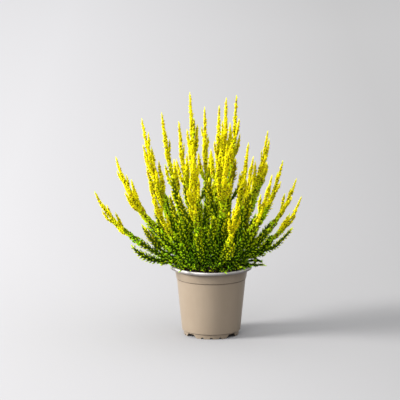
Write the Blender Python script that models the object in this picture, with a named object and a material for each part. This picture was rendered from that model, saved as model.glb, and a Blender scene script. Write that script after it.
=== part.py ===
"""A potted heather: 28 sprays of upright shoots, green below and golden above, in a nursery pot.

The pot is one thin moulded wall with a turned-down lip, a collar, a notched foot ring and a
flat pad under its centre, where the origin is. The potting soil fills it to just below the
rim. Each spray is one stem that stands in a plain hole in the soil, with its side shoots,
and is two solids: the green lower part and the golden upper part that stands on it.
"""

import math

import bmesh
import bpy
import numpy as np
from mathutils import Vector

# Pot, in metres
POT_HEIGHT = 0.1090
POT_SIDES = 28
WALL = 0.0010
LIP_RADIUS = 0.0630
LIP_DEPTH = 0.0045  # how far the lip's edge is turned down
LIP_EDGE = 0.0010  # how thick that edge is
LIP_WEB = 0.0018  # how far below the rim the lip's underside is
LIP_ROUND = 0.0014
RIM_DISH = 0.0008  # how far the rim falls towards the inside
COLLAR_RADIUS = 0.0568
COLLAR_FOOT_RADIUS = 0.0541
COLLAR_FOOT = 0.0880  # the height where the wall steps out to the collar
COLLAR_STEP = 0.0013
WALL_TOP_RADIUS = 0.0531
WALL_FOOT_RADIUS = 0.0452
FLOOR_TOP = 0.0074
FLOOR_UNDER = 0.0062
FLOOR_RADIUS = 0.0434
FOOT_RADIUS = 0.0420
FOOT_RING = 0.0020  # how thick the foot ring is
FOOT_GROOVE = 0.0006
PAD_RADIUS = 0.0110
DRAFT = 0.0010  # how much the foot ring and the pad widen upwards

NOTCH_TURNS = (-48, 48, -133, 133)  # degrees from the front of the foot
NOTCH_HEIGHT = 0.0058
NOTCH_TOP_WIDTH = 0.0125
NOTCH_FOOT_WIDTH = 0.0240
FOOT_TURNS = (0, 90.5, 180, 269.5)  # the middle of each foot between the notches
NICK_TURNS = (-19, 0, 19)  # degrees from the middle of a foot
NICK_WIDTH = 0.0046
NICK_HEIGHT = 0.0027
NICK_ROUND = 0.45
CUT_INSIDE = 0.006
CUT_OUTSIDE = 0.004
CUT_BELOW = 0.001
DRAIN_HOLES = 6
DRAIN_SIDES = 8
DRAIN_RADIUS = 0.0040
DRAIN_CIRCLE = 0.0260

# Potting soil
GAP = 0.0003
SOIL_EDGE = 0.0990
SOIL_CROWN = 0.1005
SOIL_EDGE_RADIUS = 0.0541
SOIL_RINGS = (0.040, 0.021)
SOIL_RELIEF = 0.0007
HOLE_FOOT = 0.0860
HOLE_RADIUS = 0.0021
HOLE_SIDES = 6

# Sprays: where the stems stand and how they lean
SPRAYS = 28
SEED = 101
GOLDEN_ANGLE = math.pi * (3 - math.sqrt(5))
TURN_JITTER = 0.10
STOOL_RADIUS = 0.040
STOOL_POWER = 0.85
STRAIGHT_FOOT = 0.005
CROWN_REACH = 0.170
REACH_POWER = 0.92
REACH_SHARES = (0.90, 1.04)
LEAN_TO_LEFT = 0.10
CROWN_HEIGHT = 0.268
DROOP = 0.55
DROOP_POWER = 2.6
RISE_SHARES = (0.78, 1.03)
TIP_SWAY = 0.010
LEAVE_LEAN = 1.25
MORE_LEAN = 0.04
MOST_LEAN = 1.08
ARRIVE_LEAN = 0.45
STEM_HANDLE = 0.36
STEM_STEPS = 40

# Sprays: side shoots
COLOUR_CHANGE = (0.44, 0.52)  # shares of a stem's length
INNER_SHARE = 0.62
SKIRT_ROOT = 5
SKIRT_LENGTHS = (0.034, 0.046)
SKIRT_OPENS = (0.95, 1.20)
SKIRT_AIMS = (0.70, 1.20)
SKIRT_SPREAD = 0.9
TWIGS = 4
OUTER_TWIGS = 3
TWIG_ROOT = 0.15
TWIG_APART = 0.08
TWIG_LENGTHS = (0.050, 0.078)
TWIG_OPENS = (0.45, 0.70)
GOLD_SIDES = 6
GOLD_STRETCH = 0.28
GOLD_LENGTHS = (0.15, 0.24)  # shares of the stem's length
GOLD_SHORTER = 0.09
GOLD_OPENS = (0.24, 0.42)
UPRIGHT_SPREAD = 0.1
SIDE_STEPS = 16
SIDE_HANDLES = (0.38, 0.34)

# Sprays: how thick the shoots are, over their leaves
STEM_RADIUS = 0.0015
SHOOT_RADIUS = 0.0054
LEAFY_RADIUS = 0.0080
POINT_RADIUS = 0.0018
POINT_POWER = 0.75
BARE_STEM = 0.018
BARE_SIDE = 0.005
STEM_SWELL = 0.020
SIDE_SWELL = 0.010
STEM_POINT = 0.070
SIDE_POINT = 0.036
GREEN_STEP = 0.0180
GOLD_STEP = 0.0165
KNOB_TURN = math.radians(60 + 18)
VALLEY = 0.70
KNOB_SHARES = (0.88, 1.01)
KNOB_LIFT = 0.30
BARE_SHARE = 0.9

# Sprays: how they are bent clear of each other, and then fill out the room between them
POINT_STEP = 0.006
FOOT_POINTS = 3
NEIGHBOUR_REACH = 0.026
CLEAR = 0.0022
ONE_BODY = 0.70  # how near two shoots of one solid may come, as a share of both radii
PUSH = 0.4
RELAX_ROUNDS = 120
STEM_FREE_FROM = 0.024
STEM_FREE_BY = 0.074
SIDE_FREE_BY = 0.018
LEAST_GIVE = 0.6
RIM_INSIDE = 0.047
RIM_CLEAR = 0.001
FILL_ROUNDS = 12
FILL_STEP = 0.0010
GREEN_FILL = 0.0120  # the most that a green shoot fills out to
GOLD_FILL = 0.0064  # and a golden one

COLOURS = {
    "pot": (0.46, 0.38, 0.28),
    "soil": (0.035, 0.022, 0.014),
    "green": (0.07, 0.16, 0.012),
    "gold": (0.72, 0.62, 0.012),
}


def material(name, roughness):
    made = bpy.data.materials.new(name)
    made.use_nodes = True
    shader = made.node_tree.nodes["Principled BSDF"]
    shader.inputs["Base Color"].default_value = (*COLOURS[name], 1)
    shader.inputs["Roughness"].default_value = roughness
    shader.inputs["Metallic"].default_value = 0
    made.diffuse_color = (*COLOURS[name], 1)
    return made


def new_object(name, mesh, finish):
    made = bpy.data.objects.new(name, mesh)
    bpy.context.scene.collection.objects.link(made)
    mesh.materials.clear()
    mesh.materials.append(finish)
    return made


def turned(name, profile, sides):
    """A mesh turned round Z from (radius, height) points, which start and end on the axis."""
    shape = bmesh.new()
    line = [shape.verts.new((radius, 0, height)) for radius, height in profile]
    edges = [shape.edges.new(pair) for pair in zip(line, line[1:])]
    bmesh.ops.spin(
        shape,
        geom=line + edges,
        axis=(0, 0, 1),
        cent=(0, 0, 0),
        angle=2 * math.pi,
        steps=sides,
        use_merge=True,
    )
    bmesh.ops.remove_doubles(shape, verts=shape.verts, dist=1e-6)
    bmesh.ops.recalc_face_normals(shape, faces=shape.faces)
    mesh = bpy.data.meshes.new(name)
    shape.to_mesh(mesh)
    shape.free()
    return mesh


def cut(solid, cutter_mesh):
    """Cuts the closed pieces of one mesh out of a solid, for good."""
    cutter = bpy.data.objects.new(solid.name + "_cutter", cutter_mesh)
    cutter.hide_render = True
    cutter.display_type = "WIRE"
    bpy.context.scene.collection.objects.link(cutter)
    boolean = solid.modifiers.new("cut", "BOOLEAN")
    boolean.object = cutter
    boolean.operation = "DIFFERENCE"
    boolean.solver = "EXACT"
    settle(solid)
    bpy.data.objects.remove(cutter)


def settle(solid):
    """Replaces a solid's mesh by what its modifiers make of it."""
    graph = bpy.context.evaluated_depsgraph_get()
    made = bpy.data.meshes.new_from_object(solid.evaluated_get(graph))
    solid.modifiers.clear()
    solid.data = made


def prism(shape, outline, depth_axis, start, end):
    """Adds an upright prism to a bmesh: a flat outline of (across, height), swept along an axis."""
    across = Vector((-depth_axis.y, depth_axis.x, 0))
    near, far = (
        [shape.verts.new(depth_axis * at + across * a + Vector((0, 0, h))) for a, h in outline]
        for at in (start, end)
    )
    shape.faces.new(near)
    shape.faces.new(reversed(far))
    for i in range(len(outline)):
        j = (i + 1) % len(outline)
        shape.faces.new((near[j], near[i], far[i], far[j]))


def foot_cutters():
    """The four wide notches that part the foot ring, and three half-round nicks in each foot."""
    shape = bmesh.new()
    wide = NOTCH_FOOT_WIDTH / 2
    narrow = NOTCH_TOP_WIDTH / 2
    notch = [(-wide, -CUT_BELOW), (wide, -CUT_BELOW), (narrow, NOTCH_HEIGHT), (-narrow, NOTCH_HEIGHT)]
    half = NICK_WIDTH / 2
    top = half * NICK_ROUND
    shoulder = NICK_HEIGHT * NICK_ROUND
    nick = [(-half, -CUT_BELOW), (half, -CUT_BELOW), (half, shoulder)]
    nick += [(top, NICK_HEIGHT), (-top, NICK_HEIGHT), (-half, shoulder)]
    inside = FOOT_RADIUS - CUT_INSIDE
    outside = FOOT_RADIUS + CUT_OUTSIDE
    for turn in NOTCH_TURNS:
        prism(shape, notch, facing(turn), inside, outside)
    for foot in FOOT_TURNS:
        for turn in NICK_TURNS:
            prism(shape, nick, facing(foot + turn), inside, outside)
    bmesh.ops.recalc_face_normals(shape, faces=shape.faces)
    mesh = bpy.data.meshes.new("foot_cutters")
    shape.to_mesh(mesh)
    shape.free()
    return mesh


def facing(turn):
    """The level direction this many degrees round from the front, which is -Y."""
    return Vector((math.sin(math.radians(turn)), -math.cos(math.radians(turn)), 0))


def upright_holes(places, radius, sides, low, high):
    """A mesh of upright prisms, one for each (x, y)."""
    shape = bmesh.new()
    for x, y in places:
        made = bmesh.ops.create_cone(
            shape,
            cap_ends=True,
            segments=sides,
            radius1=radius,
            radius2=radius,
            depth=high - low,
        )
        bmesh.ops.translate(shape, verts=made["verts"], vec=(x, y, (low + high) / 2))
    mesh = bpy.data.meshes.new("holes")
    shape.to_mesh(mesh)
    shape.free()
    return mesh


def make_pot(finish):
    """One thin wall turned round the axis: pad, foot ring, plain wall, collar and turned-down lip."""
    collar_top = POT_HEIGHT - LIP_WEB
    lip_foot = POT_HEIGHT - LIP_DEPTH
    ring_inside = FOOT_RADIUS - FOOT_RING
    profile = [
        (0, 0),
        (PAD_RADIUS, 0),
        (PAD_RADIUS + DRAFT, FLOOR_UNDER),
        (ring_inside - DRAFT / 2, FLOOR_UNDER),
        (ring_inside, 0),
        (FOOT_RADIUS, 0),
        (FOOT_RADIUS + DRAFT, FLOOR_TOP - FOOT_GROOVE),
        (WALL_FOOT_RADIUS, FLOOR_TOP + FOOT_GROOVE),
        (WALL_TOP_RADIUS, COLLAR_FOOT),
        (COLLAR_FOOT_RADIUS, COLLAR_FOOT + COLLAR_STEP),
        (COLLAR_RADIUS, collar_top),
        (LIP_RADIUS - LIP_EDGE, collar_top),
        (LIP_RADIUS - LIP_EDGE, lip_foot),
        (LIP_RADIUS, lip_foot),
        (LIP_RADIUS, POT_HEIGHT - LIP_ROUND),
        (LIP_RADIUS - LIP_ROUND * 0.3, POT_HEIGHT - LIP_ROUND * 0.3),
        (LIP_RADIUS - LIP_ROUND, POT_HEIGHT),
        (COLLAR_RADIUS, POT_HEIGHT - RIM_DISH),
        (COLLAR_RADIUS - WALL, collar_top - RIM_DISH),
        (COLLAR_FOOT_RADIUS - WALL, COLLAR_FOOT + COLLAR_STEP),
        (WALL_TOP_RADIUS - WALL, COLLAR_FOOT),
        (WALL_FOOT_RADIUS - WALL, FLOOR_TOP + FOOT_GROOVE * 2),
        (FLOOR_RADIUS, FLOOR_TOP),
        (0, FLOOR_TOP),
    ]
    pot = new_object("pot", turned("pot", profile, POT_SIDES), finish)
    cut(pot, foot_cutters())
    turns = [math.tau * (i + 0.5) / DRAIN_HOLES for i in range(DRAIN_HOLES)]
    places = [(DRAIN_CIRCLE * math.cos(a), DRAIN_CIRCLE * math.sin(a)) for a in turns]
    drains = upright_holes(places, DRAIN_RADIUS, DRAIN_SIDES, FLOOR_UNDER / 2, FLOOR_TOP * 1.5)
    cut(pot, drains)
    pot.data.set_sharp_from_angle(angle=math.radians(30))


def make_soil(finish, stools):
    """The root ball: the pot's inside, less a gap, with a slightly rough top and a hole for each stem."""
    profile = [
        (0, FLOOR_TOP + GAP),
        (FLOOR_RADIUS - GAP, FLOOR_TOP + GAP),
        (WALL_FOOT_RADIUS - WALL - GAP, FLOOR_TOP + FOOT_GROOVE * 2 + GAP),
        (WALL_TOP_RADIUS - WALL - GAP, COLLAR_FOOT + GAP),
        (COLLAR_FOOT_RADIUS - WALL - GAP, COLLAR_FOOT + COLLAR_STEP + GAP),
        (SOIL_EDGE_RADIUS, SOIL_EDGE),
        (SOIL_RINGS[0], (SOIL_EDGE + SOIL_CROWN) / 2),
        (SOIL_RINGS[1], SOIL_CROWN),
        (0, SOIL_CROWN),
    ]
    mesh = turned("potting_soil", profile, POT_SIDES)
    rough = np.random.default_rng(SEED)
    for vertex in mesh.vertices:
        if vertex.co.z > SOIL_EDGE + GAP:
            vertex.co.z += rough.uniform(-SOIL_RELIEF, SOIL_RELIEF)
    soil = new_object("potting_soil", mesh, finish)
    cut(soil, upright_holes(stools, HOLE_RADIUS, HOLE_SIDES, HOLE_FOOT, POT_HEIGHT))


def unit(vector):
    return vector / np.linalg.norm(vector)


def bezier(corners, steps):
    """Evenly numbered points on the cubic curve through four corners."""
    t = np.linspace(0, 1, steps + 1)[:, None]
    a, b, c, d = (np.array(corner) for corner in corners)
    return (1 - t) ** 3 * a + 3 * t * (1 - t) ** 2 * b + 3 * t**2 * (1 - t) * c + t**3 * d


def lengths_of(points):
    """How far along a line of points each point is."""
    steps = np.linalg.norm(np.diff(points, axis=0), axis=1)
    return np.concatenate([[0], np.cumsum(steps)])


class Shoot:
    """A line of points with a radius at each, for a spray's stem or one of its side shoots."""

    def __init__(self, spray, points, colour, root=None):
        self.spray = spray
        self.colour = colour
        self.root = root  # the index of the stem's point that a side shoot grows from
        along = lengths_of(points)
        count = max(4, round(along[-1] / POINT_STEP) + 1)
        even = np.linspace(0, along[-1], count)
        self.points = np.stack([np.interp(even, along, points[:, i]) for i in range(3)], 1)
        self.girths = np.array([self.girth(at, along[-1]) for at in even])
        free_from, free_by = (STEM_FREE_FROM, STEM_FREE_BY) if root is None else (0, SIDE_FREE_BY)
        reach = np.clip((even - free_from) / (free_by - free_from), 0, 1)
        self.give = reach * (LEAST_GIVE + (1 - LEAST_GIVE) * even / along[-1])

    def girth(self, at, length):
        """The radius over the leaves: a bare foot, a full middle and a long thin point."""
        if self.root is None:
            bare, swell_by, point_from = BARE_STEM, STEM_SWELL, STEM_POINT
            leafy = min(1, max(0, 2.4 - 4 * at / length))  # until 35 % of the stem, none from 60 %
        else:
            bare, swell_by, point_from = BARE_SIDE, SIDE_SWELL, SIDE_POINT
            leafy = 0.5 if self.colour == "green" else 0
        full = SHOOT_RADIUS + (LEAFY_RADIUS - SHOOT_RADIUS) * leafy
        swell = min(1, max(0, (at - bare) / swell_by))
        body = STEM_RADIUS + (full - STEM_RADIUS) * swell
        point = min(1, (length - at) / point_from)
        return POINT_RADIUS + (body - POINT_RADIUS) * point**POINT_POWER

    def golden(self):
        """Which of its points belong to the golden solid, as ones among noughts."""
        if self.root is None:
            return (np.arange(len(self.points)) >= self.turn_point).astype(int)
        return np.full(len(self.points), int(self.colour == "gold"))

    def girth_at(self, at):
        """The radius over the leaves after the shoot has filled out."""
        return np.interp(at, lengths_of(self.points), self.girths)


def spray_lines():
    """The stems' lines: a sunflower spiral that is tall and upright in the middle, low outside."""
    rng = np.random.default_rng(SEED)
    up = np.array([0, 0, 1.0])
    lines = []
    for i in range(SPRAYS):
        share = math.sqrt((i + 0.5) / SPRAYS)
        turn = i * GOLDEN_ANGLE + rng.normal(0, TURN_JITTER)
        out = np.array([math.cos(turn), math.sin(turn), 0])
        reach = CROWN_REACH * share**REACH_POWER * (1 - LEAN_TO_LEFT * out[0])
        reach *= rng.uniform(*REACH_SHARES)
        rise = CROWN_HEIGHT * (1 - DROOP * share**DROOP_POWER) * rng.uniform(*RISE_SHARES)
        sway = np.cross(up, out) * rng.uniform(-TIP_SWAY, TIP_SWAY)
        foot = out * STOOL_RADIUS * share**STOOL_POWER + up * (SOIL_CROWN + STRAIGHT_FOOT)
        tip = out * reach + up * (POT_HEIGHT + rise) + sway
        chord = np.linalg.norm(tip - foot)
        lean = math.acos((tip - foot)[2] / chord)
        first = min(lean * LEAVE_LEAN + MORE_LEAN, MOST_LEAN)
        last = lean * ARRIVE_LEAN
        leave = (out * math.sin(first) + up * math.cos(first)) * chord * STEM_HANDLE
        arrive = (out * math.sin(last) + up * math.cos(last)) * chord * STEM_HANDLE
        curve = bezier((foot, foot + leave, tip - arrive, tip), STEM_STEPS)
        lines.append(np.vstack([[foot[0], foot[1], HOLE_FOOT + GAP], curve]))
    return lines


def side_line(stem, root, length, opening, roll, spread):
    """A side shoot's line: out of the stem at an angle, then up beside it or on outwards."""
    start = stem.points[root]
    along = unit(stem.points[root + 1] - stem.points[root - 1])
    up = np.array([0, 0, 1.0])
    away = start * [1, 1, 0]
    away = unit(away - along * (away @ along))
    beside = np.cross(along, away)
    out = away * math.cos(roll) + beside * math.sin(roll)
    leave = along * math.cos(opening) + out * math.sin(opening)
    arrive = unit(along * 0.6 + up * 0.5 + out * spread)
    end = start + unit(leave + arrive) * length
    first, last = (length * share for share in SIDE_HANDLES)
    return bezier((start, start + leave * first, end - arrive * last, end), SIDE_STEPS)


def grow():
    """Every shoot of every spray, the stem first, before they are bent clear of each other."""
    rng = np.random.default_rng(SEED + 1)
    shoots = []
    for i, line in enumerate(spray_lines()):
        outer = math.sqrt((i + 0.5) / SPRAYS) > INNER_SHARE
        stem = Shoot(i, line, "both")
        count = len(stem.points)
        reach = lengths_of(stem.points)[-1]
        stem.turn_point = round(count * rng.uniform(*COLOUR_CHANGE))
        shoots.append(stem)
        roll = rng.uniform(0, math.tau)

        def side(colour, root, length, opening, roll, spread=UPRIGHT_SPREAD):
            line = side_line(stem, root, length, opening, roll, spread)
            shoots.append(Shoot(i, line, colour, root))

        if outer:
            for hand in (-1, 0, 1):
                aim = hand * rng.uniform(*SKIRT_AIMS)
                length = rng.uniform(*SKIRT_LENGTHS)
                opening = rng.uniform(*SKIRT_OPENS)
                side("green", SKIRT_ROOT + hand, length, opening, aim, SKIRT_SPREAD)
        for k in range(OUTER_TWIGS if outer else TWIGS):
            root = round(count * (TWIG_ROOT + TWIG_APART * k))
            roll += GOLDEN_ANGLE
            side("green", root, rng.uniform(*TWIG_LENGTHS), rng.uniform(*TWIG_OPENS), roll)
        for k in range(GOLD_SIDES):
            root = stem.turn_point + 2 + round(count * GOLD_STRETCH * k / GOLD_SIDES)
            length = reach * rng.uniform(*GOLD_LENGTHS) * (1 - GOLD_SHORTER * k)
            roll += GOLDEN_ANGLE
            side("gold", root, length, rng.uniform(*GOLD_OPENS), roll)
    return shoots


def floor_under(places):
    """How high the rim or the soil is below each place."""
    level = np.hypot(places[:, 0], places[:, 1])
    return np.where(level > RIM_INSIDE, POT_HEIGHT, SOIL_CROWN) + RIM_CLEAR


def close_pairs(shoots):
    """Each two points that may come to touch. A stem and the foot of its own side shoot may."""
    places = np.concatenate([shoot.points for shoot in shoots])
    radii = np.concatenate([shoot.girths for shoot in shoots])
    numbers = np.concatenate([np.full(len(s.points), i) for i, s in enumerate(shoots)])
    sprays = np.array([shoot.spray for shoot in shoots])
    is_stem = np.array([shoot.root is None for shoot in shoots])
    foot = np.concatenate([np.arange(len(s.points)) < FOOT_POINTS for s in shoots])
    square = (places**2).sum(1)
    near = square[:, None] + square - 2 * places @ places.T < NEIGHBOUR_REACH**2
    first, second = np.nonzero(np.triu(near, 1))
    one, other = numbers[first], numbers[second]
    own_foot = is_stem[one] & foot[second] | is_stem[other] & foot[first]
    apart = (one != other) & ~(own_foot & (sprays[one] == sprays[other]))
    first, second = first[apart], second[apart]
    solids = np.concatenate([2 * s.spray + s.golden() for s in shoots])
    both = radii[first] + radii[second]
    wanted = np.where(solids[first] == solids[second], both * ONE_BODY, both + CLEAR)
    return first, second, wanted


def bend_clear(shoots):
    """Pushes shoots apart where they would cross, and up off the rim, with the stems' feet kept."""
    radii = np.concatenate([shoot.girths for shoot in shoots])
    starts = np.cumsum([0] + [len(shoot.points) for shoot in shoots])
    first, second, wanted = close_pairs(shoots)
    for _ in range(RELAX_ROUNDS):
        places = np.concatenate([shoot.points for shoot in shoots])
        between = places[first] - places[second]
        distance = np.linalg.norm(between, axis=1) + 1e-9
        short = np.clip(wanted - distance, 0, None)
        step = between * (PUSH * short / distance)[:, None]
        push = np.zeros_like(places)
        np.add.at(push, first, step)
        np.add.at(push, second, -step)
        push[:, 2] += np.clip(floor_under(places) + radii - places[:, 2], 0, None) * PUSH
        carried = {}
        for i, shoot in enumerate(shoots):
            own = push[starts[i] : starts[i + 1]]
            ways = np.gradient(shoot.points, axis=0)
            ways /= np.linalg.norm(ways, axis=1)[:, None]
            own = (own - ways * (own * ways).sum(1)[:, None]) * shoot.give[:, None]
            own[1:-1] = (own[:-2] + 2 * own[1:-1] + own[2:]) / 4
            if shoot.root is None:
                carried[shoot.spray] = own
            else:
                own = own + carried[shoot.spray][shoot.root]
            shoot.points = shoot.points + own


def fill_out(shoots):
    """Lets every shoot's leaves fill the free room round it, and give way where it is short of room."""
    places = np.concatenate([shoot.points for shoot in shoots])
    radii = np.concatenate([shoot.girths for shoot in shoots])
    golden = np.concatenate([shoot.golden() for shoot in shoots])
    usual = np.where(golden, SHOOT_RADIUS, LEAFY_RADIUS)
    most = radii * np.where(golden, GOLD_FILL, GREEN_FILL) / usual
    first, second, wanted = close_pairs(shoots)
    both = radii[first] + radii[second]
    merging = wanted < both
    apart = np.linalg.norm(places[first] - places[second], axis=1)
    height = places[:, 2] - floor_under(places)
    for _ in range(FILL_ROUNDS):
        both = radii[first] + radii[second]
        free = apart - np.where(merging, both * ONE_BODY, both + CLEAR)
        room = np.minimum(FILL_STEP, height - radii)
        np.minimum.at(room, first, free / 2)
        np.minimum.at(room, second, free / 2)
        radii = np.clip(radii + np.clip(room, -FILL_STEP, None), STEM_RADIUS, most)
    starts = np.cumsum([0] + [len(shoot.points) for shoot in shoots])
    for start, shoot in zip(starts, shoots):
        grown = radii[start : start + len(shoot.points)]
        smooth = (np.append(grown[1:], grown[-1]) + grown + np.append(grown[0], grown[:-1])) / 3
        shoot.girths = np.minimum(grown, smooth)


def along_line(points, stations):
    """Points at these distances along a smooth curve through a line of points, and the way it runs."""
    ends = np.vstack([2 * points[0] - points[1], points, 2 * points[-1] - points[-2]])
    t = np.linspace(0, 1, 5)[:-1, None]
    fine = [
        (2 * b + (c - a) * t + (2 * a - 5 * b + 4 * c - d) * t**2 + (3 * b - a - 3 * c + d) * t**3) / 2
        for a, b, c, d in zip(ends, ends[1:], ends[2:], ends[3:])
    ]
    fine = np.vstack([*fine, points[-1:]])
    lengths = lengths_of(fine)
    before, places, after = (
        np.stack([np.interp(at, lengths, fine[:, i]) for i in range(3)], 1)
        for at in (stations - POINT_STEP / 3, stations, stations + POINT_STEP / 3)
    )
    ways = after - before
    return places, ways / np.linalg.norm(ways, axis=1)[:, None]


def column(shoot, low, high, step, rng):
    """A closed three-sided column of staggered knobs along a stretch of a shoot."""
    bare = shoot.root is None and low == 0
    leafy_from = BARE_STEM if bare else low
    count = max(3, round((high - leafy_from) / step) + 1)
    stations = np.linspace(leafy_from, high, count)
    if bare:
        stations = np.concatenate([[0, BARE_STEM / 2], stations])
    centres, ways = along_line(shoot.points, stations)
    shape = bmesh.new()
    side = unit(np.cross(ways[0], [0.3, 0.9, 0.1]))
    turn = rng.uniform(0, math.tau)
    rings = []
    for j, (at, centre, way) in enumerate(zip(stations, centres, ways)):
        side = unit(side - way * (side @ way))
        other = np.cross(way, side)
        radius = shoot.girth_at(at)
        inner = 0 < j < len(stations) - 1 and radius > STEM_RADIUS * 1.3
        ring = []
        for k in range(3):
            angle = turn + k * math.tau / 3
            knob = (1.0 if j % 2 else VALLEY) * rng.uniform(*KNOB_SHARES) if inner else BARE_SHARE
            lift = step * KNOB_LIFT if inner and j % 2 else 0
            out = side * math.cos(angle) + other * math.sin(angle)
            ring.append(shape.verts.new(centre + out * radius * knob + way * lift))
        rings.append(ring)
        turn += KNOB_TURN
    for low_ring, high_ring in zip(rings, rings[1:]):
        for k in range(3):
            after = (k + 1) % 3
            shape.faces.new((low_ring[k], low_ring[after], high_ring[k]))
            shape.faces.new((high_ring[k], low_ring[after], high_ring[after]))
    shape.faces.new(reversed(rings[0]))
    shape.faces.new(rings[-1])
    mesh = bpy.data.meshes.new("column")
    shape.to_mesh(mesh)
    shape.free()
    return mesh


def grown_together(name, trunk, branches, finish):
    """One solid of a stem and the shoots whose feet are sunk in it."""
    solid = new_object(name, trunk, finish)
    group = bpy.data.collections.new("shoots_of_" + name)
    bpy.context.scene.collection.children.link(group)
    for mesh in branches:
        group.objects.link(bpy.data.objects.new("shoot", mesh))
    union = solid.modifiers.new("grown_together", "BOOLEAN")
    union.operand_type = "COLLECTION"
    union.collection = group
    union.operation = "UNION"
    union.solver = "EXACT"
    settle(solid)
    for shoot in list(group.objects):
        bpy.data.objects.remove(shoot)
    bpy.data.collections.remove(group)


def make_sprays(shoots, green, gold):
    """Each spray's green and golden solids, which meet face to face across a gap."""
    rng = np.random.default_rng(SEED + 7)
    for i in range(SPRAYS):
        stem, *sides = [shoot for shoot in shoots if shoot.spray == i]
        length = lengths_of(stem.points)[-1]
        change = lengths_of(stem.points)[stem.turn_point]
        lower = column(stem, 0, change - GAP / 2, GREEN_STEP, rng)
        upper = column(stem, change + GAP / 2, length, GOLD_STEP, rng)
        grown = {"green": [], "gold": []}
        for side in sides:
            step = GREEN_STEP if side.colour == "green" else GOLD_STEP
            grown[side.colour].append(column(side, 0, lengths_of(side.points)[-1], step, rng))
        grown_together(f"green_spray_{i + 1:02}", lower, grown["green"], green)
        grown_together(f"golden_spikes_{i + 1:02}", upper, grown["gold"], gold)


def main():
    for old in list(bpy.data.objects):
        bpy.data.objects.remove(old)
    shoots = grow()
    bend_clear(shoots)
    fill_out(shoots)
    make_pot(material("pot", 0.5))
    stools = [shoot.points[0][:2] for shoot in shoots if shoot.root is None]
    make_soil(material("soil", 0.95), stools)
    make_sprays(shoots, material("green", 0.6), material("gold", 0.55))


main()
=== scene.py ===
import math

import bmesh
import bpy
import numpy as np
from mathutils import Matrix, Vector, noise


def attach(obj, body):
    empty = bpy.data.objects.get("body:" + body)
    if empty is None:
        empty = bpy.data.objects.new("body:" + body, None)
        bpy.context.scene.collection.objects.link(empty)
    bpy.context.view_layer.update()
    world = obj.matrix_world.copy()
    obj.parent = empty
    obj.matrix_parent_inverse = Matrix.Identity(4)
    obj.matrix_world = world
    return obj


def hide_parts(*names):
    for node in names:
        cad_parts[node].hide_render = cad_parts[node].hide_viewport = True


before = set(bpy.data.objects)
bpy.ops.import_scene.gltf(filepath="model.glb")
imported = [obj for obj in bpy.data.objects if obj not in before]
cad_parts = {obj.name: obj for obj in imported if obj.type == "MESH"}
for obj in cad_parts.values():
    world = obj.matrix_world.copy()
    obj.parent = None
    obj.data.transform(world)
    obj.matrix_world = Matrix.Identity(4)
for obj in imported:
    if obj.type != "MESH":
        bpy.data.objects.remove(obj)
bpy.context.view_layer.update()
bpy.context.scene.view_settings.view_transform = "Standard"


# The nursery pot is one thin moulded wall of taupe plastic: a pad and a notched foot ring
# below, a tapered wall, a collar, and a lip whose edge is turned down. It is satin, a little
# scuffed, and pale where the lip catches the light.
POT_HEIGHT = 0.1090
POT_SIDES = 160
WALL = 0.0010
LIP_RADIUS = 0.0630
LIP_DEPTH = 0.0045
LIP_EDGE = 0.0010
LIP_WEB = 0.0018
LIP_ROUND = 0.0012
RIM_DISH = 0.0008
COLLAR_RADIUS = 0.0568
COLLAR_FOOT_RADIUS = 0.0541
COLLAR_FOOT = 0.0880
COLLAR_STEP = 0.0013
WALL_TOP_RADIUS = 0.0531
WALL_FOOT_RADIUS = 0.0452
FLOOR_TOP = 0.0074
FLOOR_UNDER = 0.0062
FLOOR_RADIUS = 0.0434
FOOT_RADIUS = 0.0420
FOOT_RING = 0.0020
FOOT_GROOVE = 0.0006
LINE_DEPTH = 0.0006  # the moulded lines at the collar's foot and above the foot ring
LINE_WIDTH = 0.0009
PAD_RADIUS = 0.0110
DRAFT = 0.0010
SOFT_EDGE = 0.0003
NOTCH_TURNS = (-48, 48, -133, 133)
NOTCH_HEIGHT = 0.0058
NOTCH_TOP_WIDTH = 0.0125
NOTCH_FOOT_WIDTH = 0.0240
NOTCH_CORNER = ((0.0006, -0.0008), (-0.0004, 0))  # two points take off each top corner
FOOT_TURNS = (0, 90.5, 180, 269.5)
NICK_TURNS = (-19, 0, 19)
NICK_WIDTH = 0.0046
NICK_HEIGHT = 0.0027
NICK_SPRING = 0.35  # share of a nick's height below its arch
ARCH_STEPS = 8
CUT_BELOW = -0.001
CUT_REACH = (-0.006, 0.004)  # from the foot's radius, inwards and outwards
DRAIN_HOLES = 6
DRAIN_RADIUS = 0.0040
DRAIN_CIRCLE = 0.0260
TAUPE = (0.198, 0.155, 0.111)
TAUPE_WORN = (0.245, 0.20, 0.15)
LIP_PAINTED_HIGHLIGHT = (0.56, 0.54, 0.54)
LIP_UNDER_SHADE = (0.06, 0.05, 0.05)
LINE_AND_CREASE_SHADE = (0.09, 0.065, 0.045)
POT_DUST = (0.20, 0.14, 0.09)
HIGHLIGHT_RADII = (0.0580, 0.0592)  # where the lip's painted highlight begins, and where it is full
UNDER_HEIGHTS = (0.1078, 0.1062)  # the same for the shade low on the lip's edge
CREASE_HEIGHTS = (0.1014, 0.1034)  # and for the shade on the collar just under the lip
DUST_HEIGHT = 0.016
HIGHLIGHT_SHARE, UNDER_SHARE, CREASE_SHARE, LINE_SHADE_SHARE = 0.85, 0.9, 0.6, 0.75
CLOUD_SHARE, STREAK_SHARE, DUST_SHARE = 0.22, 0.10, 0.45
SHARP_FROM = math.radians(38)


def rounded(profile, softened):
    """The profile with a small arc in place of each corner that softened gives a size for."""
    line = []
    for i, corner in enumerate(profile):
        size = softened.get(i)
        if not size:
            line.append(corner)
            continue
        here = Vector(corner)
        before = (Vector(profile[i - 1]) - here).normalized() * size
        after = (Vector(profile[i + 1]) - here).normalized() * size
        for t in (0, 0.33, 0.67, 1):
            bend = here + before * (1 - t) ** 2 + after * t**2
            line.append((bend.x, bend.y))
    return line


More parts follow.
